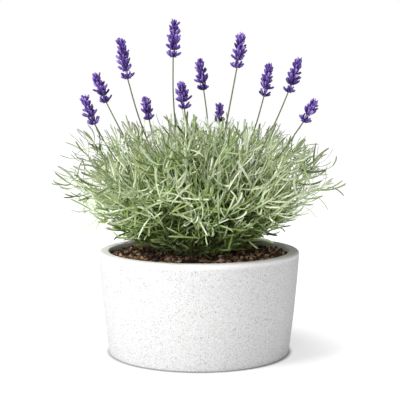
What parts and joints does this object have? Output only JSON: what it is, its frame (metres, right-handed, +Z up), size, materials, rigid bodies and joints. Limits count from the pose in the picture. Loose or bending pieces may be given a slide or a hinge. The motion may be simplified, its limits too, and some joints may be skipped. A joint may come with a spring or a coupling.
{
  "type": "potted lavender",
  "caption": "Lavender plant with a mound of narrow grey-green leaves and upright purple flower spikes, growing in a round tapered speckled planter.",
  "frame": {"origin": "on the ground, at the centre of the planter's base", "axes": "+Z up; +X to the plant's right as seen from the front, -Y towards the front"},
  "size_m": [0.3667, 0.3653, 0.4142],
  "materials": {
    "planter": "matte white with fine grey speckle",
    "soil": "loose dark bark and coir",
    "wood": "rough grey-brown bark",
    "leaf": "matte grey-green, finely downy",
    "stem": "matte grey-green",
    "flower": "matte violet, finely downy"
  },
  "bodies": {
    "root": {"planter_pot": "planter", "potting_soil": "soil", "woody_crown": "wood", "leafy_shoot_01": "leaf", "leafy_shoot_02": "leaf", "leafy_shoot_03": "leaf", "leafy_shoot_04": "leaf", "leafy_shoot_05": "leaf", "leafy_shoot_06": "leaf", "leafy_shoot_07": "leaf", "leafy_shoot_08": "leaf", "leafy_shoot_09": "leaf", "leafy_shoot_10": "leaf", "leafy_shoot_11": "leaf", "leafy_shoot_12": "leaf", "leafy_shoot_13": "leaf", "leafy_shoot_14": "leaf", "leafy_shoot_15": "leaf", "leafy_shoot_16": "leaf", "leafy_shoot_17": "leaf", "leafy_shoot_18": "leaf", "leafy_shoot_19": "leaf", "leafy_shoot_20": "leaf", "leafy_shoot_21": "leaf", "leafy_shoot_22": "leaf", "leafy_shoot_23": "leaf", "leafy_shoot_24": "leaf", "leafy_shoot_25": "leaf", "leafy_shoot_26": "leaf", "leafy_shoot_27": "leaf", "leafy_shoot_28": "leaf", "leafy_shoot_29": "leaf", "leafy_shoot_30": "leaf", "leafy_shoot_31": "leaf", "leafy_shoot_32": "leaf", "leafy_shoot_33": "leaf", "flower_stem_01": "stem", "flower_stem_02": "stem", "flower_stem_03": "stem", "flower_stem_04": "stem", "flower_stem_05": "stem", "flower_stem_06": "stem", "flower_stem_07": "stem", "flower_stem_08": "stem", "flower_stem_09": "stem", "flower_stem_10": "stem", "flower_stem_11": "stem", "flower_stem_12": "stem", "flower_spike_01": "flower", "flower_spike_02": "flower", "flower_spike_03": "flower", "flower_spike_04": "flower", "flower_spike_05": "flower", "flower_spike_06": "flower", "flower_spike_07": "flower", "flower_spike_08": "flower", "flower_spike_09": "flower", "flower_spike_10": "flower", "flower_spike_11": "flower", "flower_spike_12": "flower"}
  },
  "joints": []
}
